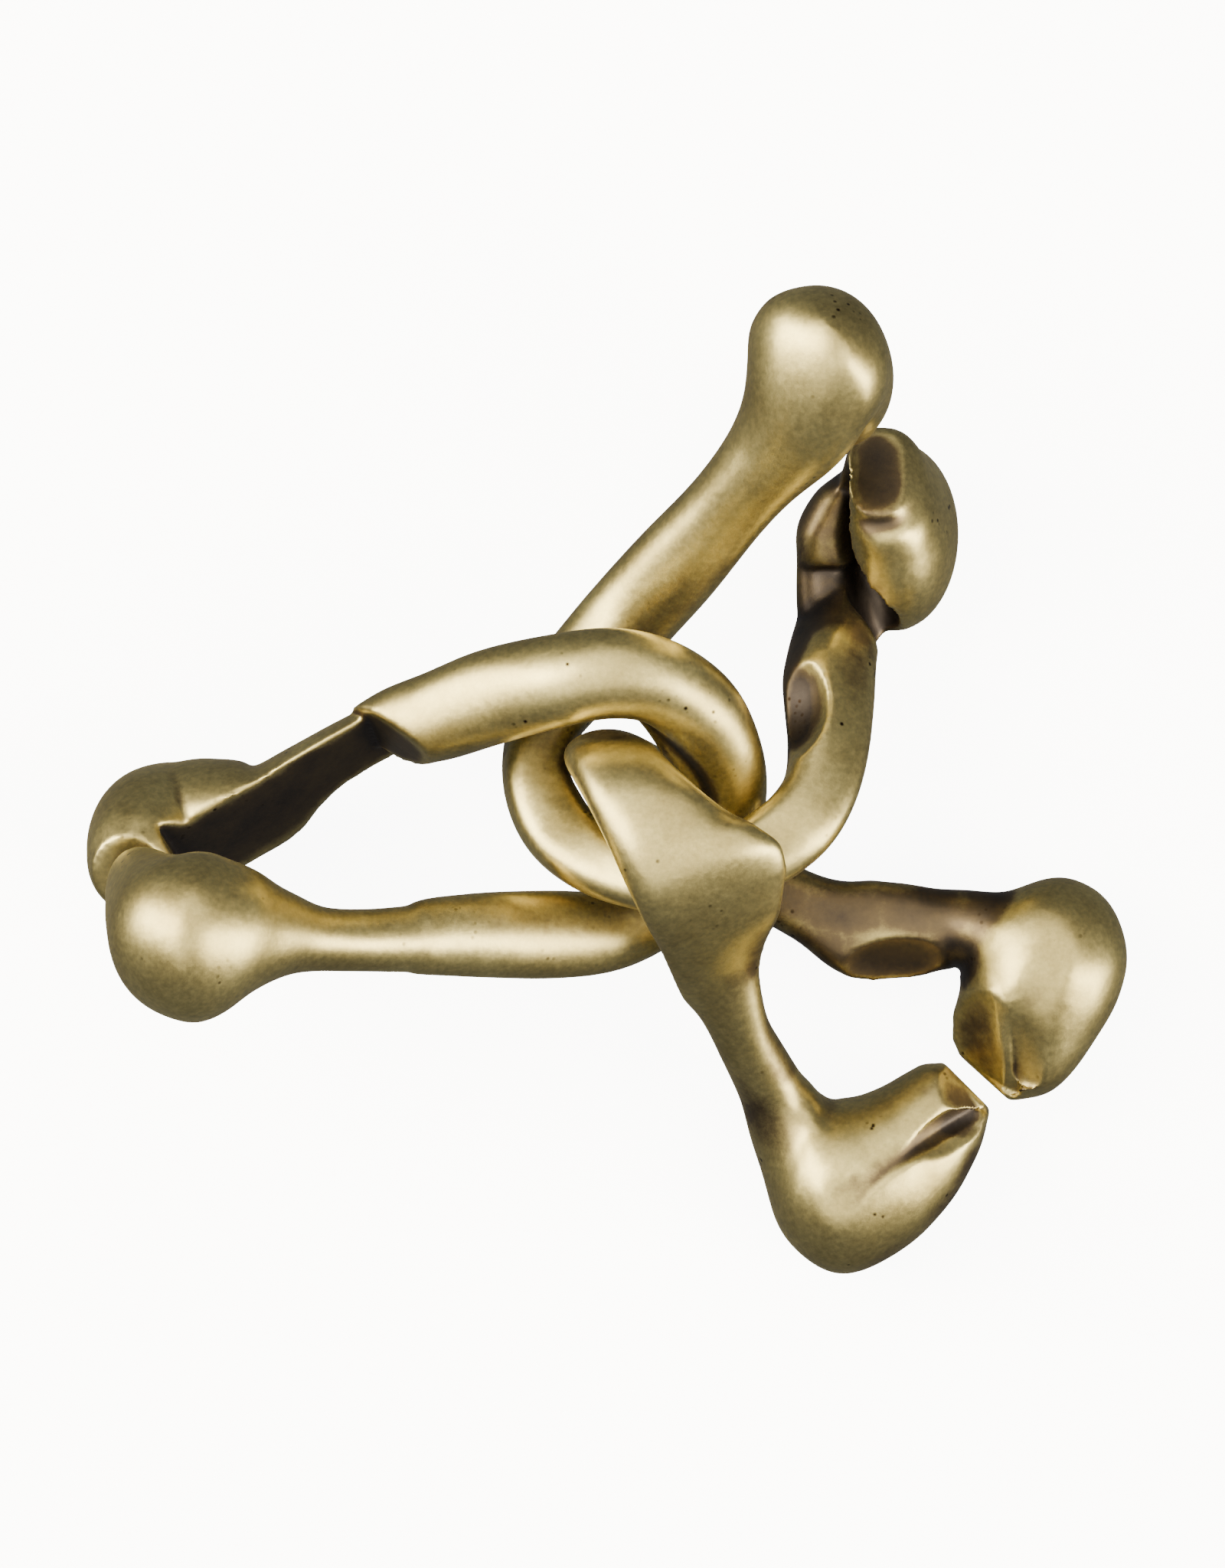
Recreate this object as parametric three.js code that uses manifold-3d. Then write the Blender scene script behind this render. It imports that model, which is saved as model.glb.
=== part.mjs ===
// Metal ring disentanglement puzzle: three interlocked open rings of cast, brass-plated metal.
//
// Each ring is one solid bar bent into a loop. The bar swells into an egg-shaped lobe at both
// ends, and the two lobes face each other over a narrow gap. The rings lie on a table in a
// heap: +Z is up, the lowest lobes touch the table and the origin is under the heap's middle.
import * as THREE from 'three';
import { mergeVertices } from 'three/addons/utils/BufferGeometryUtils.js';
import Module from 'manifold-3d';

const wasm = await Module();
wasm.setup();

// Driving dimensions, mm
const LOBE = 6.8;            // half thickness of a lobe at its fattest
const BAR = 3.4;             // half thickness of a bar
const TIP = 2.75;            // half size of the flat face at the gap
const ROUND_POINTS = 22;     // points round one section
const SECTIONS = 3;          // sections from one station to the next

// A bar lofted through stations. Each row is [x, y, z,  ox, oy, oz,  a, b, n, fin]: the bar's
// middle, the direction of the section's first half axis, its length a, the length b of the
// half axis across it, how square the section is (2 is an ellipse), and how much farther it
// reaches on one side, where the bar carries a fin.
function loft(rows) {
  const last = rows.length - 1;
  const path = new THREE.CatmullRomCurve3(
    rows.map((r) => new THREE.Vector3(r[0], r[1], r[2])), false, 'centripetal');
  const turn = new THREE.CatmullRomCurve3(
    rows.map((r) => new THREE.Vector3(r[3], r[4], r[5]).normalize()), false, 'catmullrom', 0.5);
  const size = new THREE.CatmullRomCurve3(
    rows.map((r) => new THREE.Vector3(r[6], r[7], r[8] ?? 2)), false, 'catmullrom', 0.35);
  const side = new THREE.CatmullRomCurve3(
    rows.map((r) => new THREE.Vector3(r[9] ?? 0, 0, 0)), false, 'catmullrom', 0.35);
  const count = last * SECTIONS;
  const points = [];
  for (let i = 0; i <= count; i++) {
    const t = i / count;
    const middle = path.getPoint(t);
    const out = turn.getPoint(t).normalize();
    const across = new THREE.Vector3().crossVectors(out, path.getTangent(t)).normalize();
    const { x: a, y: b, z: n } = size.getPoint(t);
    const fin = side.getPoint(t).x;
    for (let k = 0; k < ROUND_POINTS; k++) {
      const u = (2 * Math.PI * k) / ROUND_POINTS;
      const p = a * Math.sign(Math.cos(u)) * Math.abs(Math.cos(u)) ** (2 / n);
      const reach = Math.sin(u) < 0 ? b + fin : b;
      const q = reach * Math.sign(Math.sin(u)) * Math.abs(Math.sin(u)) ** (2 / n);
      points.push(middle.clone().addScaledVector(out, p).addScaledVector(across, q));
    }
  }
  const start = points.length;
  points.push(path.getPoint(0), path.getPoint(1));
  const faces = [];
  for (let k = 0; k < ROUND_POINTS; k++) {
    const next = (k + 1) % ROUND_POINTS;
    for (let i = 0; i < count; i++) {
      const [p, q] = [i * ROUND_POINTS, (i + 1) * ROUND_POINTS];
      faces.push(p + k, q + k, q + next, p + k, q + next, p + next);
    }
    faces.push(start, k, next, start + 1, count * ROUND_POINTS + next, count * ROUND_POINTS + k);
  }
  return new wasm.Manifold(new wasm.Mesh({
    numProp: 3,
    vertProperties: Float32Array.from(points.flatMap((v) => v.toArray())),
    triVerts: Uint32Array.from(faces),
  }));
}

// A three.js geometry as a solid
function solid(geometry) {
  geometry.deleteAttribute('normal');
  geometry.deleteAttribute('uv');
  const merged = mergeVertices(geometry, 1e-4);
  return new wasm.Manifold(new wasm.Mesh({
    numProp: 3,
    vertProperties: Float32Array.from(merged.attributes.position.array),
    triVerts: Uint32Array.from(merged.index.array),
  }));
}

// A block that stands on the plane through a point. Its length runs along one direction, and
// the plane's normal points into it.
function block(point, normal, along, [length, width, height]) {
  const z = new THREE.Vector3(...normal).normalize();
  const y = new THREE.Vector3(...along).cross(z).normalize().negate();
  const x = new THREE.Vector3().crossVectors(y, z);
  const geometry = new THREE.BoxGeometry(length, width, height).translate(0, 0, height / 2);
  const place = new THREE.Matrix4().makeBasis(x, y, z).setPosition(...point);
  return solid(geometry.applyMatrix4(place));
}

// Left ring: its bend is at the heap's middle and its lobes lie one above the other. The front
// arm is a deep blade, cut flat along its inner side, and the round bar begins at a shoulder.
function leftRing() {
  const lobe = loft([
    [-40.9, -7.9, 20, -1, 0, 0, 3.0, 3.5],
    [-39.9, -6.7, 17.4, -1, 0, 0, 4.6, 5.3],
    [-38.9, -5.5, 13.8, -1, 0, 0, 5.7, 6.4],
    [-38.2, -5.0, 10, -1, 0, 0, 6.2, 6.5],
    [-37.3, -4.5, 6.8, -1, 0, 0, 6.2, 6.1],
    [-36.6, -4.3, 4, -1, 0, 0, 4.9, 4.8],
    [-36.3, -4.2, 2.1, -1, 0, 0, 2.8, 2.7],
    [-36.2, -4.2, 1.3, -1, 0, 0, 1.3, 1.3],
  ]);
  // Blade sections: distance along the crease, inward from it, height, half height, half width
  const along = [0.868, 0.497, 0];
  const arm = loft([
    [-2, 0.5, 10.6, 4.8, 4.7, 2],
    [0.5, 0.4, 10.8, 6.4, 5.5, 2],
    [3, 0.4, 11.0, 7.4, 5.55, 2],
    [6, 1.25, 11.3, 7.5, 4.85, 2.1],
    [9, 2.1, 11.9, 7.4, 3.75, 2.4],
    [12, 1.65, 13.0, 6.4, 3.0, 2.6],
    [15, 1.35, 14.0, 5.3, 2.6, 2.6],
    [18, 1.4, 14.6, 4.7, 2.55, 2.6],
    [21, 1.7, 15.2, 4.4, 2.6, 2.6],
    [23, 1.9, 16.0, 3.4, 2.4, 2.4],
  ].map(([t, w, z, a, b, n]) => [
    -38 + along[0] * t + along[1] * w, -4.8 + along[1] * t - along[0] * w, z, 0, 0, -1, a, b, n,
  ]));
  const face = block([-28, 0.92, 18.5], [0.43, -0.752, 0.5], along, [23, 40, 12]);
  const shoulder = block([-18.9, 4.5, 21.1], [-0.63, -0.73, 0.27], [0.76, -0.65, 0], [20, 20, 12]);
  const bar = loft([
    [-22.5, 2.0, 16.0, -0.3, 0.95, -0.2, 2.8, 2.7, 2.5],
    [-19.6, 3.6, 17.8, -0.3, 0.95, -0.2, 3.3, 3.2, 2.5],
    [-17.4, 4.5, 19.0, -0.3, 0.95, -0.2, 3.6, BAR, 2.5],
    [-14.5, 5.35, 20.4, -0.3, 0.95, -0.2, 3.85, BAR, 2.5],
    [-10, 7, 22.8, -0.3, 0.95, -0.15, 4.1, BAR, 2.4],
    [-5, 8.2, 25, -0.15, 1, 0, 4.0, BAR],
    [0, 8.9, 25.5, 0.05, 1, 0, 3.9, BAR],
    [4.2, 8.1, 24.8, 0.4, 0.9, 0.1, 3.7, BAR],
    [7.6, 5.5, 22.8, 0.65, 0.75, 0, 3.7, BAR],
    [9.6, 2, 20.1, 0.9, 0.4, 0, 3.2, 3.0],
    [10.2, -1.2, 17.8, 1, 0, 0, 2.9, 2.9],
    [9.3, -4.6, 16.1, 0.9, -0.45, 0, 3.0, 2.9],
    [7, -7.9, 15.2, 0.7, -0.7, 0, 3.0, 2.8],
    [4, -11, 15.2, 0.4, -0.9, 0, 3.2, 2.8],
    [0, -12.8, 15.9, 0.1, -1, 0, 3.5, 2.8],
    [-5, -13.1, 17.9, 0, -1, 0, 3.8, 2.8],
    [-10, -13.1, 20.5, 0, -1, 0, 3.7, 2.9],
    [-15, -13.2, 22.7, 0, -1, 0, 3.35, 2.8],
    [-16.4, -13.3, 23.4, 0, -1, 0.05, 3.15, 2.8],
    [-17.2, -13.4, 23.8, 0, -1, 0.05, 2.85, 2.7],
    [-21, -13.5, 25.6, 0, -0.9, 0.3, 2.7, 2.7],
    [-25, -13.4, 28.0, 0, -0.7, 0.7, 2.9, 2.9],
    [-28.4, -13.2, 30.4, 0.1, -0.4, 0.9, 4.1, 4.3],
    [-31.2, -13.2, 32.3, 0, -0.3, 0.95, 5.6, 6.2],
    [-34.2, -13.2, 33, -0.3, -0.2, 0.93, LOBE, 7.3],
    [-36.4, -12.8, 31.6, -0.75, -0.2, 0.6, 6.2, 7.0],
    [-37.6, -11.6, 28.8, -1, -0.1, 0.2, 4.9, 6.0],
    [-38.9, -10, 25.5, -1, 0, 0, 3.7, 4.6],
    [-39.8, -8.9, 22.4, -1, 0, 0, TIP, 3.5],
  ]);
  const inner_fillet = loft([
    [0.5, 7.2, 22.6, 1, 0, 0, 1.4, 1.4],
    [3.2, 5.9, 22.2, 1, 0, 0, 1.9, 1.9],
    [5.4, 3.6, 21.0, 1, 0, 0, 2.1, 2.1],
    [6.8, 1.0, 19.2, 1, 0, 0, 2.1, 2.1],
    [7.8, -2.0, 17.4, 1, 0, 0, 1.8, 1.8],
  ]);
  return lobe.add(arm).subtract(face).add(bar.subtract(shoulder)).add(inner_fillet);
}

// Upper ring: its bend hooks round the left ring, and one lobe is high and one on the table.
function upperRing() {
  const lobe = loft([
    [22.4, 26.0, 16.6, 1, 0, 0, 2.5, 4.1, 3],
    [23.0, 25.3, 15.2, 1, 0, 0, 3.5, 5.2, 2.5],
    [23.5, 23.6, 13.0, 1, 0, 0, 4.5, 6.6, 2.2],
    [24.0, 21.9, 10.3, 1, 0, 0, 5.2, 7.9],
    [24.2, 20.8, 7.6, 1, 0, 0, 5.35, 8.4],
    [24.0, 20.4, 5.0, 1, 0, 0, 4.9, 7.4],
    [23.8, 20.3, 2.8, 1, 0, 0, 3.6, 5.2],
    [23.7, 20.3, 1.4, 1, 0, 0, 1.9, 2.8],
  ]);
  const bar = loft([
    [22.0, 18.6, 6.6, 0.6, -0.3, -0.7, 3.6, 4.2],
    [21.0, 16.2, 6.9, 0.6, -0.3, -0.7, 4.0, 4.4],
    [20.0, 14.0, 8.2, 0.6, -0.25, -0.7, 4.1, 4.2],
    [19.0, 12.0, 10.4, 0.65, -0.2, -0.7, 3.9, 3.8, 2.4],
    [18.4, 9.4, 13.1, 0.75, -0.1, -0.6, 4.0, 3.6, 2.8],
    [18.4, 6.2, 15.5, 0.8, -0.05, -0.55, 3.7, 3.4, 3],
    [18.3, 3, 17.8, 0.9, -0.1, -0.35, 3.4, 3.1, 3],
    [17.6, -0.6, 20, 0.95, -0.3, -0.15, 3.2, 2.8, 3],
    [15.8, -3.6, 21.6, 0.7, -0.7, 0, 3.3, 2.6, 3],
    [13, -5.8, 22.2, 0.4, -0.9, 0, 3.3, 2.4, 3],
    [10, -7.2, 22.4, 0.25, -0.97, 0, 3.2, 2.3, 3],
    [5, -8.2, 22.2, 0.05, -1, 0.1, 3.1, 2.3, 3],
    [1, -7.9, 21.3, -0.2, -0.97, 0.15, 2.8, 2.3, 3],
    [-2.4, -6.15, 19.7, -0.5, -0.85, 0.2, 3.1, 2.5, 3],
    [-4.9, -3.7, 17.3, -0.8, -0.6, 0.2, 3.2, 2.8, 3],
    [-6.35, -0.5, 15.8, -1, -0.1, 0.15, 2.9, 2.9, 3],
    [-6.4, 3, 14.6, -0.9, 0.3, 0.1, 2.8, 3.1, 2.7],
    [-4, 7.5, 13.5, -0.8, 0.55, 0, 3.6, BAR],
    [-0.5, 11.5, 13.7, -0.75, 0.6, 0, 4.0, 3.5],
    [1.8, 14.2, 14.5, -0.75, 0.6, 0, 4.0, 3.5],
    [5.2, 17.9, 17, -0.7, 0.65, 0, 4.0, 3.5],
    [9.4, 22.6, 20.5, -0.65, 0.65, 0.2, 3.7, 3.7],
    [12.8, 27, 24, -0.5, 0.5, 0.6, 4.2, 4.6],
    [15.3, 31.4, 27.4, -0.3, 0.4, 0.8, 6.2, 6.2],
    [16.9, 34.7, 29, -0.05, 0.6, 0.75, 6.8, LOBE],
    [18.5, 35.2, 27.3, 0.2, 0.85, 0.45, 6.4, 6.2],
    [19.4, 33.3, 24.8, 0.4, 0.9, 0.1, 4.8, 4.9],
    [19.7, 30.6, 21.5, 0.6, 0.75, 0, TIP, 3.2],
  ]);
  const rib = loft([
    [18.2, 11.5, 11.2, 1, 0, 0, 2, 2],
    [18.2, 14.5, 9.4, 1, 0, 0, 2.6, 2.2],
    [18.1, 18.2, 9.2, 1, 0, 0, 2.5, 2.0],
    [18.2, 18.8, 9.3, 1, 0, 0, 2.6, 2.9],
    [18.3, 21.5, 9.6, 1, 0, 0, 2.7, 3.3],
    [19.2, 24.4, 10.3, 1, 0, 0, 2, 2.6],
    [20.2, 26.0, 10.6, 1, 0, 0, 1.0, 1.4],
  ]);
  const valley = loft([
    [18.6, 27, 15.8, 1, 0, 0, 1.2, 1.4],
    [19.6, 23.9, 14.9, 1, 0, 0, 1.8, 2.2],
    [20.7, 20.9, 13.2, 1, 0, 0, 2.2, 2.6],
    [21.4, 18.0, 12.2, 1, 0, 0, 2.3, 2.6],
    [22.1, 15.2, 11.4, 1, 0, 0, 2.1, 2.4],
    [23.0, 12.4, 10.6, 1, 0, 0, 1.6, 1.9],
    [24.2, 9.4, 10.0, 1, 0, 0, 1.3, 1.5],
  ]);
  const inner_face = solid(new THREE.SphereGeometry(8, 64, 48).translate(11.2, 8.4, 22.9));
  return bar.add(lobe).subtract(valley).add(rib).subtract(inner_face);
}

// Lower ring: its bend stands upright through the other two and both lobes lie on the table.
function lowerRing() {
  const bar = loft([
    [30.2, -26.1, 7.2, 0.707, -0.707, 0, 2.85, 3.2, 2.6],
    [28.7, -28.1, 7.2, 0.54, -0.84, 0, 4.6, 4.6, 2.2],
    [26.3, -30.9, 7.2, 0.43, -0.9, 0, 5.85, 5.8],
    [23.2, -33.4, 7.2, 0.23, -0.97, 0, 6.95, 6.6],
    [19.5, -34.7, 7.2, -0.03, -1, 0, 7.7, 7],
    [16.5, -33.1, 7.3, -0.31, -0.95, 0, 6.3, 6.4],
    [14.9, -29.6, 7.9, -0.5, -0.87, 0, 4.2, 5],
    [13.5, -26.3, 9.6, -0.7, -0.7, 0.2, 2.8, 3.5],
    [12.1, -23.6, 12.1, -0.65, -0.5, 0.5, 2.65, 2.9],
    [10.6, -20.8, 14.8, -0.5, -0.3, 0.8, 2.6, 2.8],
    [9.2, -17.7, 18.2, -0.1, 0, 1, 2.5, 3.4],
    [8.1, -15.3, 21.9, -0.06, 0, 1, 2.4, 3.4, 2.1, 1.8],
    [7.1, -13.1, 25.0, -0.1, 0, 1, 2.3, 3.4, 2.2, 4.3],
    [6.1, -11.3, 27.1, -0.1, 0, 1, 2.3, 3.4, 2.3, 6.0],
    [5.1, -9.4, 28.4, -0.1, 0, 1, 2.3, 3.4, 2.4, 6.5],
    [4.1, -7.3, 29, -0.06, 0, 1, 2.3, 3.4, 2.4, 5.2],
    [3.1, -5.1, 29, 0.05, 0.05, 1, 2.3, 3.4, 2.4, 3.3],
    [2.0, -2.8, 28.6, 0, 0.15, 1, 2.3, 3.4, 2.4, 2.1],
    [0.9, -0.5, 27.2, 0, 0.45, 0.9, 2.4, 3.5, 2.4, 1.1],
    [0, 1.35, 24.8, 0, 0.8, 0.6, 2.4, 3.7, 2.4, 0.3],
    [-0.4, 2.0, 22, 0, 1, 0.15, 2.3, 3.8],
    [-0.1, 1.9, 18.8, 0, 1, 0, 2.2, 3.5],
    [0.5, 1.6, 15.6, -0.1, 0.9, -0.3, 2.3, 3.2],
    [2.2, 0.4, 12.4, -0.2, 0.6, -0.8, 2.4, 3.1],
    [5, -2.2, 10, -0.1, 0.2, -0.95, 2.4, 3.0],
    [8.5, -5.4, 8.9, 0, 0, -1, 2.4, 2.8],
    [12.5, -8.7, 8.4, 0, 0, -1, 2.4, 2.8, 2.6],
    [17, -11.1, 8.4, 0, 0, -1, 2.4, 3, 2.6],
    [21, -12.7, 8.4, 0, 0, -1, 2.4, 4.3, 2.4],
    [25, -12.9, 8.2, 0, 0, -1, 2.6, 4.1, 2.2],
    [28.5, -12.8, 7.7, 0.2, 0.2, -0.9, 3.2, 3.5],
    [31.5, -12.8, 7.3, 0.54, 0.8, -0.2, 3.9, 4.3],
    [34, -12.6, 7.2, 0.715, 0.7, 0, 6.3, 5.6],
    [35.9, -14.1, 7.2, 0.857, 0.515, 0, 7.5, 6.4],
    [36.6, -16.8, 7.2, 0.96, 0.28, 0, 7.7, LOBE],
    [36.1, -19.3, 7.2, 0.995, 0.1, 0, 7.2, 6.4],
    [34.9, -21.9, 7.2, 0.99, -0.12, 0, 6.1, 5.6],
    [33.2, -24.4, 7.2, 0.9, -0.43, 0, 5.0, 4.4],
    [31.5, -25.3, 7.2, 0.74, -0.67, 0, 3.2, 3.3],
  ]);
  const across_gap = (side) => block([30.8, -25.6, 0], [side, side, 0], [1, -1, 0], [80, 80, 80]);
  const inner_facet = block([31, -23.6, 7.5], [-0.7, -0.4, 0.59], [0, 1, 0], [13, 20, 8])
    .intersect(across_gap(1));
  const tip_facet = block([28.2, -26.7, 11.3], [0.5, 0.5, 0.7], [0.7, -0.7, 0], [16, 16, 5])
    .intersect(across_gap(-1));
  const fin_facet = solid(new THREE.SphereGeometry(12, 64, 48).translate(24.6, -22.4, 18.7))
    .intersect(block([24.6, -13.5, 0], [0, 0, 1], [1, 0, 0], [10.8, 9, 20]));
  const groove_1 = loft([
    [40.2, -7.0, 19.0, 1, 0, 0, 6, 6],
    [39.4, -9.4, 19.0, 1, 0, 0, 6, 6],
    [38.2, -12.7, 19.2, 1, 0, 0, 6, 6],
    [36.6, -17, 19.4, 1, 0, 0, 6, 6],
    [35.0, -22, 18.3, 1, 0, 0, 6, 6],
    [34.0, -26, 16.1, 1, 0, 0, 6, 6],
    [33.2, -29, 14.2, 1, 0, 0, 6, 6],
  ]);
  const groove_2 = loft([
    [33.4, -28.2, 10.2, 0, 1, 0, 1.0, 1.0],
    [31.5, -29.1, 11.2, 0, 1, 0, 1.6, 1.6],
    [29.5, -30.1, 13.2, 0, 1, 0, 2.4, 2.4],
    [27, -31.5, 16.0, 0, 1, 0, 3.6, 3.6],
    [23, -33.7, 19.3, 0, 1, 0, 6, 6],
    [19, -35.9, 19.9, 0, 1, 0, 6, 6],
    [15, -38.1, 20.7, 0, 1, 0, 6, 6],
  ]);
  const cuts = [groove_1, groove_2, inner_facet, tip_facet, fin_facet];
  return cuts.reduce((shape, cut) => shape.subtract(cut), bar);
}

// A named sub-part of the solid
function piece(name, shape, color) {
  const { vertProperties, triVerts, numProp } = shape.getMesh();
  const position = new Float32Array((vertProperties.length / numProp) * 3);
  for (let i = 0; i < position.length / 3; i++) {
    position.set(vertProperties.subarray(i * numProp, i * numProp + 3), i * 3);
  }
  const geometry = new THREE.BufferGeometry();
  geometry.setAttribute('position', new THREE.BufferAttribute(position, 3));
  geometry.setIndex(new THREE.BufferAttribute(Uint32Array.from(triVerts), 1));
  geometry.computeVertexNormals();
  const mesh = new THREE.Mesh(geometry, new THREE.MeshStandardMaterial({
    color, roughness: 0.38, metalness: 1,
  }));
  mesh.name = name;
  return mesh;
}

const puzzle = new THREE.Group();
puzzle.add(
  piece('left_ring', leftRing(), 0xb9a56a),
  piece('upper_ring', upperRing(), 0xb5a067),
  piece('lower_ring', lowerRing(), 0xbba86e),
);

// The origin is at the middle of the heap's footprint, on the table
const bounds = new THREE.Box3().setFromObject(puzzle, true);
const middle = bounds.getCenter(new THREE.Vector3());
puzzle.position.set(-middle.x, -middle.y, -bounds.min.z);

export default puzzle;
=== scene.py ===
# %% [markdown]
# # A metal ring disentanglement puzzle
# Three cast rings lie tangled in a heap on a table. Each ring is one thick bar, bent into a
# loop and swollen into an egg-shaped lobe at both ends. The rings are loaded as rough solids
# that already have the right size and place; this lesson gives them a fine cast surface, an
# antique brass finish, and a plain studio.

# %% Load the rings
from math import radians

import bmesh
import bpy
import numpy as np
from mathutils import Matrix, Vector


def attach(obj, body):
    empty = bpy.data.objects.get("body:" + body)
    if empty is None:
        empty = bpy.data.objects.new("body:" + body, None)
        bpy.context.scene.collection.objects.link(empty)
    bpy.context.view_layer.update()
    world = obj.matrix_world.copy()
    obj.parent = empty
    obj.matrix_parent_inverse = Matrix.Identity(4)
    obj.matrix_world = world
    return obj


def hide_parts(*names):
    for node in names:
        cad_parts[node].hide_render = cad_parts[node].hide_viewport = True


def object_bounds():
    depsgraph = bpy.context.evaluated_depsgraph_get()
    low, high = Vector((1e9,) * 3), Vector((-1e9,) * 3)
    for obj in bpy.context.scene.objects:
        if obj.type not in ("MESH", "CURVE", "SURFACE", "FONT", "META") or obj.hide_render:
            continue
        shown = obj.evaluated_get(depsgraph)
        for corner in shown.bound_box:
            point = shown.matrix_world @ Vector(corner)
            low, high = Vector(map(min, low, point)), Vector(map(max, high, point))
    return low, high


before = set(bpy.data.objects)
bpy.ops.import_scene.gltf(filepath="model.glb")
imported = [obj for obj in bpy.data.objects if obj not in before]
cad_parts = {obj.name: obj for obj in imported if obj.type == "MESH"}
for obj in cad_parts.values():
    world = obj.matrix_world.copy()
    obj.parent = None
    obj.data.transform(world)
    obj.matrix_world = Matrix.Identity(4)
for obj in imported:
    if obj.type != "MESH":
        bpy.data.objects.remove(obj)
heap_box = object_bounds()
low, high = Vector(heap_box[0]), Vector(heap_box[1])
MM = 0.001
print("heap, mm:", [round(v / MM, 2) for v in (high - low)])

# %% [markdown]
# ## Camera
# The heap is seen from straight above, like a thing laid out to be copied. A long lens far
# away keeps the near lobes from growing. The distance follows from the lens: the picture's
# long side must take in 132 mm at the heap's middle height.

# %% Camera
VIEW_HEIGHT = 132.1 * MM
LENS, SENSOR = 300.0, 36.0
centre = (low + high) / 2
distance = VIEW_HEIGHT * LENS / SENSOR
lens = bpy.data.cameras.new("overhead_camera")
lens.lens = LENS
lens.sensor_width = SENSOR
lens.clip_end = 20
camera = bpy.data.objects.new("overhead_camera", lens)
camera.location = (centre.x + 0.3 * MM, centre.y + 0.1 * MM, centre.z + distance)
bpy.context.scene.collection.objects.link(camera)
bpy.context.scene.camera = camera
print("camera height, m:", round(camera.location.z, 3))

# %% [markdown]
# ## From rough solid to cast surface
# The loaded rings are made of loose triangles with flat facets. A real casting is smooth,
# with edges that tumbling has rounded by a few tenths of a millimetre. So each ring is
# copied, its doubled corners are merged, its edges sharper than 32 degrees are creased, and
# two levels of subdivision round everything else. A voxel remesh then gives an even skin,
# and a little smoothing rounds the creased edges as tumbling does.

# %% Cast surface
CREASE_ANGLE = radians(32)
SKIN = 0.26 * MM
TUMBLED = 6


def finished_mesh(thing):
    """The mesh of an object with its modifiers applied."""
    graph = bpy.context.evaluated_depsgraph_get()
    return bpy.data.meshes.new_from_object(thing.evaluated_get(graph))


def cast_ring(name, node, body):
    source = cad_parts[node]
    bm = bmesh.new()
    bm.from_mesh(source.data)
    bmesh.ops.remove_doubles(bm, verts=bm.verts, dist=0.002 * MM)
    bmesh.ops.join_triangles(
        bm, faces=bm.faces, angle_face_threshold=radians(25), angle_shape_threshold=radians(50))
    crease = bm.edges.layers.float.new("crease_edge")
    sharp = 0
    for edge in bm.edges:
        if len(edge.link_faces) == 2 and edge.calc_face_angle() > CREASE_ANGLE:
            edge[crease] = 0.8
            sharp += 1
    mesh = bpy.data.meshes.new(name)
    bm.to_mesh(mesh)
    bm.free()
    ring = bpy.data.objects.new(name, mesh)
    bpy.context.scene.collection.objects.link(ring)
    rounding = ring.modifiers.new("rounding", "SUBSURF")
    rounding.levels = rounding.render_levels = 2
    skin = ring.modifiers.new("skin", "REMESH")
    skin.mode = "VOXEL"
    skin.voxel_size = SKIN
    tumbling = ring.modifiers.new("tumbling", "SMOOTH")
    tumbling.factor = 0.5
    tumbling.iterations = TUMBLED
    done = finished_mesh(ring)
    ring.modifiers.clear()
    ring.data = done
    done.name = name
    done.shade_smooth()
    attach(ring, body)
    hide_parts(node)
    print(name, "creased edges", sharp, "faces", len(done.polygons))
    return ring


rings = [
    cast_ring("cast_left_ring", "left_ring", "left"),
    cast_ring("cast_upper_ring", "upper_ring", "upper"),
    cast_ring("cast_lower_ring", "lower_ring", "lower"),
]

# %% [markdown]
# ## Worn and filed places
# From the tip of each lobe of the lower ring a crisp ridge runs back over the lobe. On one side
# of it lies a shallow valley, filed deepest right beside the ridge and running out softly. A
# valley is named by the points of its ridge in mm, seen from above, the side it lies on (1 is
# left of the ridge's run, -1 is right), its depth and its width. Before that, the lobes' tops
# are worn smooth where the rough solid has a kink: each such place is a middle and a reach in
# mm. Filing only ever presses the skin inwards.

# %% Worn and filed places
WORN = {"cast_lower_ring": [(20.4, -34.8, 2.4), (37.4, -20.5, 3.6), (36.4, -15.0, 3.4)]}
WORN_ROUNDS = 80        # rounds of smoothing at a worn place
RIDGE_WALL = 0.8        # mm from the ridge down to the valley's bottom
VALLEY_RUN_OUT = 0.8    # share of a valley's length over which it fades away
VALLEYS = {
    "cast_lower_ring": [
        ([(32.4, -28.0), (28.4, -30.4), (24.0, -33.2), (19.6, -37.4)], -1, 0.9, 3.0),
        ([(33.6, -27.4), (33.5, -22.8), (32.7, -18.4), (31.6, -15.2)], -1, 0.75, 2.6),
    ],
}


def read_skin(ring):
    """A ring's points in mm and its normals."""
    count = len(ring.data.vertices)
    points = np.empty(count * 3, np.float32)
    ring.data.vertices.foreach_get("co", points)
    normals = np.empty(count * 3, np.float32)
    ring.data.vertices.foreach_get("normal", normals)
    return points.reshape(-1, 3).astype(float) / MM, normals.reshape(-1, 3).astype(float)


def move_skin(ring, points):
    """Put a ring's points where the given ones are, in mm."""
    ring.data.vertices.foreach_set("co", (points * MM).astype(np.float32).ravel())
    ring.data.update()


def unit(values):
    return np.clip(values, 0, 1)


def ease(share):
    """A 0 to 1 share that starts and stops gently."""
    return share * share * (3 - 2 * share)


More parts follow.
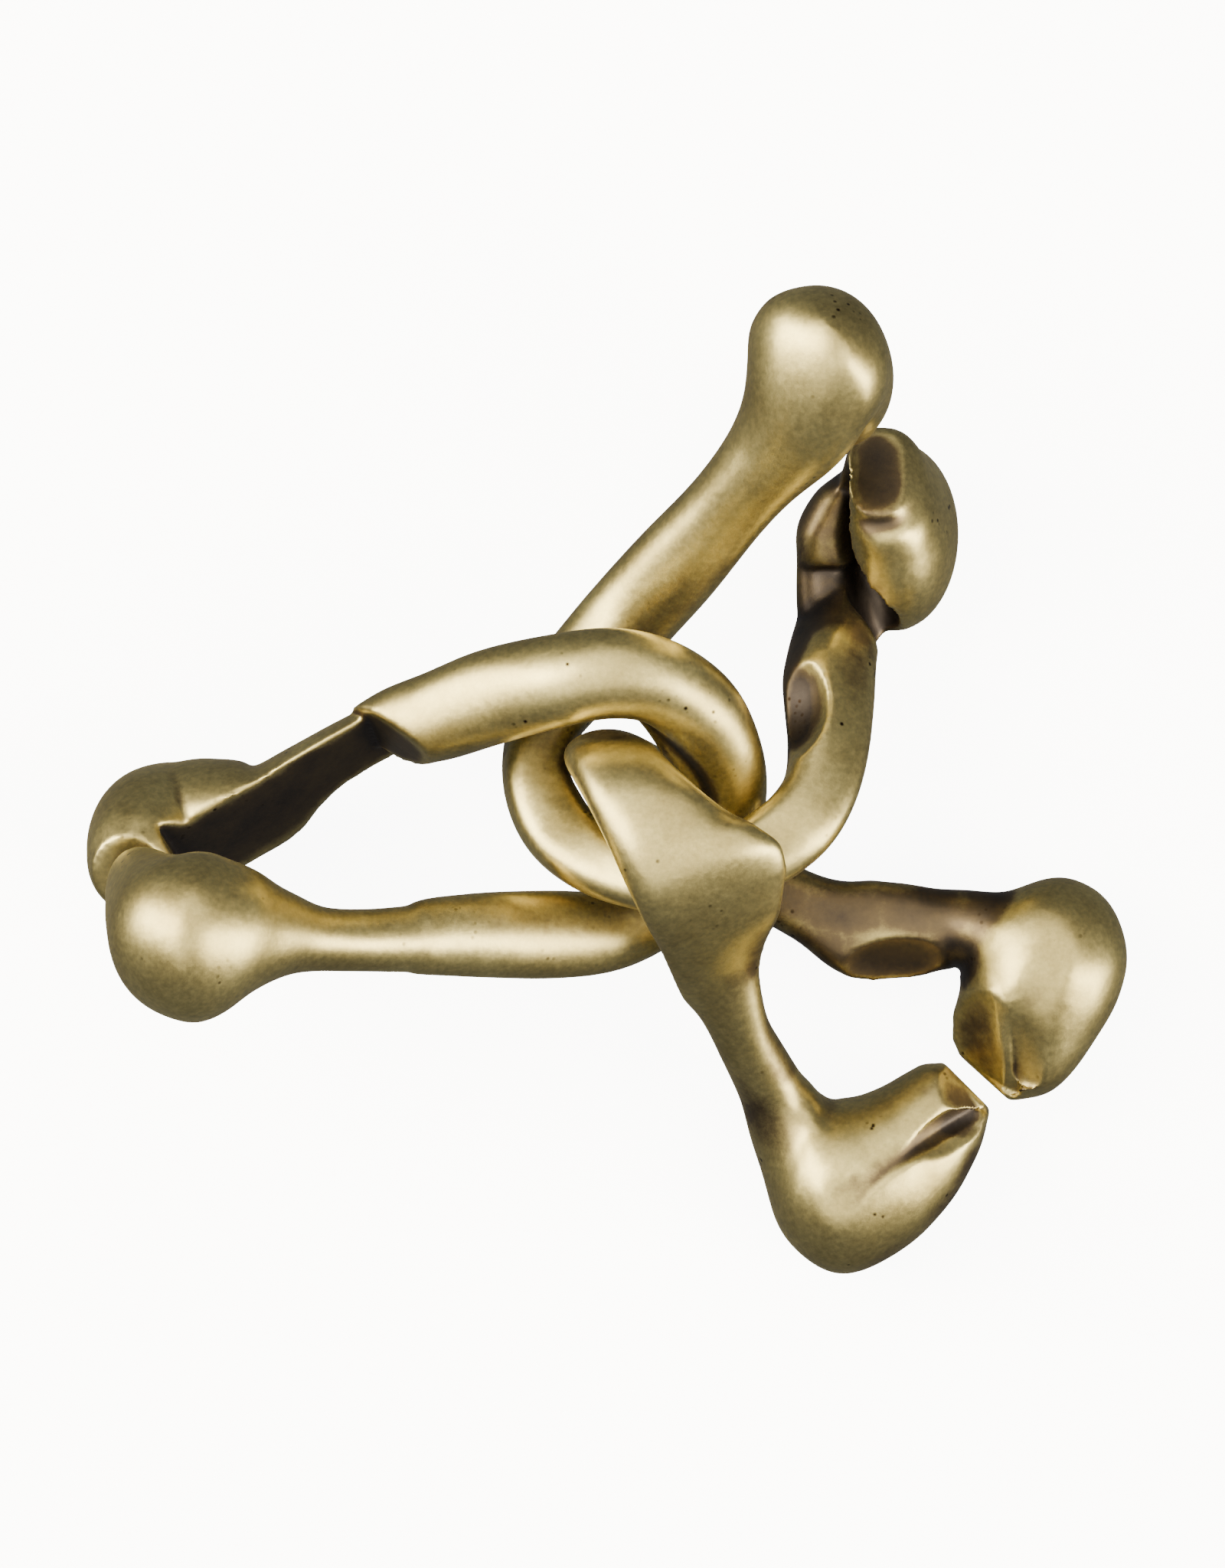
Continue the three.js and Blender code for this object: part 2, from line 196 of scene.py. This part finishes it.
def smoothed(ring, points, rounds):
    """The points after moving each one, round by round, halfway to its neighbours' middle."""
    ends = np.empty(len(ring.data.edges) * 2, np.int32)
    ring.data.edges.foreach_get("vertices", ends)
    meeting = np.maximum(np.bincount(ends, minlength=len(points)), 1)[:, None]
    one, other = ends.reshape(-1, 2).T
    for _ in range(rounds):
        total = np.zeros_like(points)
        for axis in range(3):
            total[:, axis] = (np.bincount(one, points[other, axis], len(points))
                              + np.bincount(other, points[one, axis], len(points)))
        points = 0.5 * points + 0.5 * total / meeting
    return points


def wear_down(ring, x, y, reach):
    """Smooth the top of a ring round one place."""
    points, normals = read_skin(ring)
    worn = smoothed(ring, points, WORN_ROUNDS)
    distance = np.hypot(points[:, 0] - x, points[:, 1] - y)
    share = unit((1.3 - distance / reach) / 0.8) * unit(normals[:, 2] / 0.3)
    move_skin(ring, points + (worn - points) * share[:, None])


def press_valley(ring, ridge, side, depth, width):
    """Press a valley into the top of a ring, along one side of a ridge."""
    points, normals = read_skin(ring)
    ridge = np.array(ridge, float)
    steps = np.linalg.norm(np.diff(ridge, axis=0), axis=1)
    nearest = np.full(len(points), np.inf)
    offset = np.zeros(len(points))      # mm from the ridge, positive on the valley's side
    along = np.zeros(len(points))       # share of the ridge's length
    for k, length in enumerate(steps):
        run = (ridge[k + 1] - ridge[k]) / length
        here = points[:, :2] - ridge[k]
        t = np.clip(here @ run, 0, length)
        away = np.linalg.norm(here - t[:, None] * run, axis=1)
        left = here[:, 1] * run[0] - here[:, 0] * run[1]
        closer = away < nearest
        nearest = np.where(closer, away, nearest)
        offset = np.where(closer, np.sign(left * side) * away, offset)
        along = np.where(closer, (steps[:k].sum() + t) / steps.sum(), along)
    wall = unit(offset / RIDGE_WALL)
    slope = np.exp(-(np.maximum(offset, 0) / width) ** 2)
    run_out = ease(unit((1 - along) / VALLEY_RUN_OUT))
    press = depth * wall * slope * run_out * unit(normals[:, 2] / 0.35)
    move_skin(ring, points - normals * press[:, None])
    print(ring.name, "valley pressed mm", round(float(press.max()), 2))


for ring in rings:
    for place in WORN.get(ring.name, []):
        wear_down(ring, *place)
    for valley in VALLEYS.get(ring.name, []):
        press_valley(ring, *valley)

# %% [markdown]
# ## Where the patina stays
# Antique plating is darkened all over and then polished back. The polish reaches the high
# spots and leaves brown in the hollows. How hollow a spot is can be measured: the surface is
# smoothed a lot, and where the smoothed skin lies outside the real one, the spot was hollow.
# Two numbers per point are kept as attributes, one for hollows and one for edges, which show
# up after only a little smoothing.

# %% Hollows and edges
HOLLOW_ROUNDS, EDGE_ROUNDS = 90, 12


def keep_number(ring, name, values):
    layer = ring.data.attributes.new(name, "FLOAT", "POINT")
    layer.data.foreach_set("value", values.astype(np.float32))


def measure_hollows(ring):
    points, normals = read_skin(ring)
    depth = ((smoothed(ring, points, HOLLOW_ROUNDS) - points) * normals).sum(1)
    fine = ((smoothed(ring, points, EDGE_ROUNDS) - points) * normals).sum(1)
    keep_number(ring, "hollow", unit(0.5 + depth * 2.2))
    keep_number(ring, "edge", unit(-fine * 9))
    print(ring.name, "depth mm", np.percentile(depth, (5, 50, 95)).round(3),
          "fine", np.percentile(fine, (5, 50, 95)).round(3))


for ring in rings:
    measure_hollows(ring)

# %% [markdown]
# ## Painted shade and patina
# Tumbling rubs the fat lobes and the outsides of the bars bright, and the necks, the arms that
# lie low and the flats cut into the casting keep some dark finish. These places are also painted
# with the shade that falls on them, under and between the rings and on faces turned from the
# lamps, so their darkness is partly patina and partly painted shade. Each such place is named by
# the line it follows in mm, how far it reaches from that line, how dark it is painted, and, where
# only one face is dark, the way that face looks.

# %% Dark places
# painted shade and patina: dark places along lines in mm, mostly where shade falls between the
# rings
PAINTED_SHADE_AND_PATINA = {
    "cast_left_ring": [
        ((-36, -5, 14), (-20, 3, 15), 8.0, 0.75, (0.43, -0.75, 0.5)),
        ((-19, 3, 18), (-18, 4, 17), 5.5, 0.8, (-0.63, -0.73, 0.27)),
        ((-17, 2, 18), (-4, 5, 22), 5.0, 0.6, (0.1, -0.95, 0.0)),
        ((-40, -7, 20), (-36, -4.5, 20), 2.5, 0.45, (0, 0, 1)),
        ((-27, -12.5, 28), (-25.5, -13, 28), 6.0, 0.4, None),
        ((-20, -15, 25), (-13, -13.5, 22), 4.0, 0.3, None),
        ((-10, -11, 20), (0, -11, 18), 5.0, 0.55, (0, 0.5, 0.85)),
        ((6.5, 3, 20), (8.5, -3, 19), 4.5, 0.8, (-0.8, -0.5, 0)),
    ],
    "cast_upper_ring": [
        ((19.0, 27, 12), (19.0, 13, 11), 5.0, 1.0, None),
        ((22.2, 28, 17.5), (21.4, 24.0, 17.5), 4.2, 0.9, (0, 0.2, 1)),
        ((22.2, 15.5, 9), (22.4, 12, 9), 3.6, 0.9, None),
        ((15.0, 12, 13), (15.4, 3, 16), 3.4, 1.1, None),
        ((19.0, 11, 14), (19.5, 3, 15), 4.8, 0.55, None),
        ((22.4, 11, 12), (21.6, 3, 13), 3.0, 0.7, None),
        ((-3.5, -1.5, 17), (-4.5, -4, 16), 5.5, 0.9, (0.85, 0.4, 0.2)),
        ((-7, 5, 15), (-5, 3, 14), 4.5, 0.6, None),
        ((2, 11, 15), (9, 17, 17), 5.5, 0.55, (0.5, -0.6, 0.5)),
    ],
    "cast_lower_ring": [
        ((12.6, -8.5, 25), (13.5, -14, 20), 3.6, 0.85, (0.95, -0.1, 0.1)),
        ((11.5, -15, 17), (12.4, -27, 11), 5.2, 0.55, None),
        ((14.2, -15, 17), (14.8, -23, 13), 3.0, 0.8, None),
        ((12, -8.5, 9), (30, -10, 9), 4.8, 0.86, None),
        ((12.5, -12.5, 8), (20, -14.8, 8), 3.8, 0.95, None),
        ((21, -15.2, 9), (29, -14.6, 9), 3.4, 0.95, None),
        ((29, -18, 9), (30.5, -24, 9), 4.0, 0.5, (-0.7, -0.4, 0.6)),
        ((28.2, -25.2, 10), (30.5, -27.6, 10), 3.0, 0.75, (0.5, 0.5, 0.7)),
        ((31, -31, 7), (20, -40, 7), 4.5, 0.7, (0.7, -0.7, -0.1)),
        ((38, -27, 7), (34.5, -27.5, 7), 4.5, 0.5, (0.5, -0.8, -0.1)),
        ((29.5, -29.6, 13), (19.5, -35.8, 13), 2.2, 0.42, None),
        ((34.4, -25, 13), (35.6, -18.5, 14), 1.9, 0.42, None),
        ((35.6, -18.5, 14), (38.6, -13.2, 13), 1.9, 0.36, None),
        ((0, 4, 23), (2, 4, 23), 3.5, 0.8, (0, 1, 0.2)),
    ],
}


# painted shade and patina: each listed place darkens the skin near its line, or only its faces
# turned the listed way
def paint_shade_and_patina(ring):
    points, normals = read_skin(ring)
    dark = np.zeros(len(points))
    for start, end, reach, strength, shaded_side in PAINTED_SHADE_AND_PATINA[ring.name]:
        start, run = np.array(start, float), np.subtract(end, start)
        t = unit((points - start) @ run / (run @ run))
        distance = np.linalg.norm(points - start - t[:, None] * run, axis=1)
        here = strength * ease(unit((1.35 - distance / reach) / 0.8))
        if shaded_side is not None:
            look = np.array(shaded_side) / np.linalg.norm(shaded_side)
            here = here * unit((normals @ look - 0.3) / 0.5)
        dark = np.maximum(dark, here)
    keep_number(ring, "shade_and_patina", dark)
    print(ring.name, "share of skin left dark:", round(float((dark > 0.5).mean()), 2))


for ring in rings:
    paint_shade_and_patina(ring)

# %% [markdown]
# ## Antique brass
# The metal is a zinc casting with a thin brass plating, chemically browned, then relieved by
# tumbling and a satin brush. To the eye that is a pale, slightly greenish gold with a soft
# sheen, brown in the hollows, with a fine speckle where the casting's grain holds colour.

# %% Antique brass material
def linear(hex_colour):
    """An sRGB hex colour as linear RGBA."""
    parts = [int(hex_colour[i:i + 2], 16) / 255 for i in (1, 3, 5)]
    return [c / 12.92 if c <= 0.04045 else ((c + 0.055) / 1.055) ** 2.4 for c in parts] + [1]


def add(tree, kind, inputs=None, **settings):
    """A node with its settings, and its inputs given as values or as other nodes' outputs."""
    node = tree.nodes.new(kind)
    for key, value in settings.items():
        setattr(node, key, value)
    for key, value in (inputs or {}).items():
        if isinstance(value, bpy.types.NodeSocket):
            tree.links.new(value, node.inputs[key])
        else:
            node.inputs[key].default_value = value
    return node


def per_metre(size_mm):
    """Pattern scale for features of a size in millimetres, on coordinates in metres."""
    return 1 / (size_mm * MM)


def antique_brass():
    material = bpy.data.materials.new("antique_brass")
    material.use_nodes = True
    tree = material.node_tree
    tree.nodes.clear()
    place = add(tree, "ShaderNodeTexCoord").outputs["Object"]
    hollow = add(tree, "ShaderNodeAttribute", attribute_name="hollow").outputs["Fac"]
    edge = add(tree, "ShaderNodeAttribute", attribute_name="edge").outputs["Fac"]
    shade_and_patina = add(tree, "ShaderNodeAttribute", attribute_name="shade_and_patina").outputs["Fac"]

    # cloudy tone of the browning, the speckle of the casting's grain, and scattered pits
    cloud = add(tree, "ShaderNodeTexNoise", {
        "Vector": place, "Scale": per_metre(7), "Detail": 5, "Roughness": 0.6}).outputs["Fac"]
    grain = add(tree, "ShaderNodeTexNoise", {
        "Vector": place, "Scale": per_metre(0.5), "Detail": 4, "Roughness": 0.7}).outputs["Fac"]
    fleck = add(tree, "ShaderNodeTexNoise", {
        "Vector": place, "Scale": per_metre(1.5), "Detail": 6, "Roughness": 0.75}).outputs["Fac"]
    scatter = add(tree, "ShaderNodeTexNoise", {
        "Vector": place, "Scale": per_metre(4.2), "Detail": 1}).outputs["Fac"]
    cell = add(tree, "ShaderNodeTexVoronoi", {
        "Vector": place, "Scale": per_metre(0.8), "Randomness": 1.0}).outputs["Distance"]
    pit_dot = add(tree, "ShaderNodeMapRange", {
        "Value": cell, "From Min": 0.12, "From Max": 0.3,
        "To Min": 1.0, "To Max": 0.0}).outputs["Result"]
    pit_zone = add(tree, "ShaderNodeMapRange", {
        "Value": scatter, "From Min": 0.63, "From Max": 0.7}).outputs["Result"]
    pit = add(tree, "ShaderNodeMath", {0: pit_dot, 1: pit_zone}, operation="MULTIPLY").outputs[0]

    # brown where it is hollow (patina) and in the listed dark places of patina and painted shade,
    # broken up by the cloud and the flecks, and rubbed off at edges outside those dark places
    wander = add(tree, "ShaderNodeMath", {0: cloud, 1: 0.5}, operation="SUBTRACT").outputs[0]
    patina_and_shade = add(tree, "ShaderNodeMath", {0: wander, 1: 1.1, 2: hollow},
               operation="MULTIPLY_ADD").outputs[0]
    speck = add(tree, "ShaderNodeMath", {0: fleck, 1: 0.5}, operation="SUBTRACT").outputs[0]
    patina_and_shade = add(tree, "ShaderNodeMath", {0: speck, 1: 0.5, 2: patina_and_shade},
               operation="MULTIPLY_ADD").outputs[0]
    # painted shade and patina: the listed dark places deepen the brown and the near black
    patina_and_shade = add(tree, "ShaderNodeMath", {0: shade_and_patina, 1: 1.1, 2: patina_and_shade},
               operation="MULTIPLY_ADD").outputs[0]
    clear_of_shade_and_patina = add(tree, "ShaderNodeMath", {0: 1.0, 1: shade_and_patina}, operation="SUBTRACT",
                   use_clamp=True).outputs[0]
    rubbed = add(tree, "ShaderNodeMath", {0: edge, 1: clear_of_shade_and_patina}, operation="MULTIPLY").outputs[0]
    patina_and_shade = add(tree, "ShaderNodeMath", {0: rubbed, 1: -0.4, 2: patina_and_shade},
               operation="MULTIPLY_ADD").outputs[0]
    brown = add(tree, "ShaderNodeMapRange", {
        "Value": patina_and_shade, "From Min": 0.55, "From Max": 1.15},
        interpolation_type="SMOOTHSTEP").outputs["Result"]
    black = add(tree, "ShaderNodeMapRange", {
        "Value": patina_and_shade, "From Min": 1.0, "From Max": 1.6}).outputs["Result"]

    gold = add(tree, "ShaderNodeValToRGB", {"Fac": cloud})
    ramp = gold.color_ramp
    ramp.elements[0].position, ramp.elements[0].color = 0.3, linear("#b5a572")
    ramp.elements[1].position, ramp.elements[1].color = 0.7, linear("#dfd095")
    speckled = add(tree, "ShaderNodeMapRange", {
        "Value": grain, "From Min": 0.35, "From Max": 0.72, "To Min": 0.8, "To Max": 1.05})
    body = add(tree, "ShaderNodeVectorMath",
               {0: gold.outputs["Color"], 1: speckled.outputs["Result"]},
               operation="MULTIPLY").outputs["Vector"]
    # the colour sockets of a colour mix are its inputs 6 and 7, and its output 2
    # the brown and the near black are the patina's colours and also the painted shade's
    aged = add(tree, "ShaderNodeMix", {0: brown, 6: body, 7: linear("#695b49")},
               data_type="RGBA").outputs[2]
    aged = add(tree, "ShaderNodeMix", {0: black, 6: aged, 7: linear("#423c3c")},
               data_type="RGBA").outputs[2]
    colour = add(tree, "ShaderNodeMix", {0: pit, 6: aged, 7: linear("#2c2119")}, data_type="RGBA")

    rough = add(tree, "ShaderNodeMath", {0: brown, 1: 0.06, 2: 0.29},
                operation="MULTIPLY_ADD").outputs[0]
    rough = add(tree, "ShaderNodeMath", {0: grain, 1: 0.14, 2: rough},
                operation="MULTIPLY_ADD").outputs[0]
    ripple = add(tree, "ShaderNodeTexNoise", {
        "Vector": place, "Scale": per_metre(3.2), "Detail": 2}).outputs["Fac"]
    waves = add(tree, "ShaderNodeBump", {"Height": ripple, "Strength": 0.2, "Distance": 0.25 * MM})
    bump = add(tree, "ShaderNodeBump", {
        "Height": grain, "Strength": 0.35, "Distance": 0.03 * MM,
        "Normal": waves.outputs["Normal"]})
    shader = add(tree, "ShaderNodeBsdfPrincipled", {
        "Base Color": colour.outputs[2], "Roughness": rough, "Metallic": 1.0,
        "Normal": bump.outputs["Normal"]})
    add(tree, "ShaderNodeOutputMaterial", {"Surface": shader.outputs["BSDF"]})
    return material


brass = antique_brass()
for ring in rings:
    ring.data.materials.clear()
    ring.data.materials.append(brass)

# %% [markdown]
# ## Light table and studio
# The ground is a light table: a sheet of white acrylic with lamps under it, so it stays white
# right up to the metal and takes almost no shadow. A broad soft box hangs overhead and lights
# every face that looks up. Two long boxes stand low at the sides and draw a second, narrower
# highlight along each bar, with a darker band between. All three are a little warm, and the
# room is a dim neutral grey, so the highlights are yellower than the rest of the metal. The
# table isn't shown in the metal's reflections, as if black card lay close round the piece.

# %% Light table and studio
GLOW = 9.0                  # strength of the table's own light
TABLE_HALF_SIZE = 1.5       # m


def lit_acrylic():
    material = bpy.data.materials.new("lit_acrylic")
    material.use_nodes = True
    shader = material.node_tree.nodes["Principled BSDF"]
    shader.inputs["Base Color"].default_value = linear("#f6f6f4")
    shader.inputs["Roughness"].default_value = 0.9
    shader.inputs["Emission Color"].default_value = linear("#ffffff")
    shader.inputs["Emission Strength"].default_value = GLOW
    return material


bm = bmesh.new()
bmesh.ops.create_grid(bm, x_segments=1, y_segments=1, size=TABLE_HALF_SIZE)
sheet = bpy.data.meshes.new("acrylic_sheet")
bm.to_mesh(sheet)
bm.free()
table = bpy.data.objects.new("acrylic_sheet", sheet)
table.location.z = low.z - 0.1 * MM
table.data.materials.append(lit_acrylic())
table.visible_glossy = False
bpy.context.scene.collection.objects.link(table)


def soft_box(name, place, size, watts, colour="#ffffff"):
    light = bpy.data.lights.new(name, "AREA")
    light.shape = "RECTANGLE"
    light.size, light.size_y = size
    light.energy = watts
    light.color = linear(colour)[:3]
    lamp = bpy.data.objects.new(name, light)
    lamp.location = place
    aim = Vector(centre) - Vector(place)
    lamp.rotation_euler = aim.to_track_quat("-Z", "Y").to_euler()
    bpy.context.scene.collection.objects.link(lamp)
    return lamp


soft_box("overhead_soft_box", (-0.15, 0.2, 1.4), (2.4, 2.2), 35, "#fff6d4")
soft_box("left_soft_box", (-0.75, 0.2, 0.6), (0.5, 1.3), 30, "#fff5d0")
soft_box("right_soft_box", (0.85, -0.3, 0.5), (0.45, 1.2), 23, "#fff5d0")

world = bpy.data.worlds.new("studio")
world.use_nodes = True
world.node_tree.nodes["Background"].inputs["Color"].default_value = linear("#a4a8aa")
world.node_tree.nodes["Background"].inputs["Strength"].default_value = 0.38
bpy.context.scene.world = world
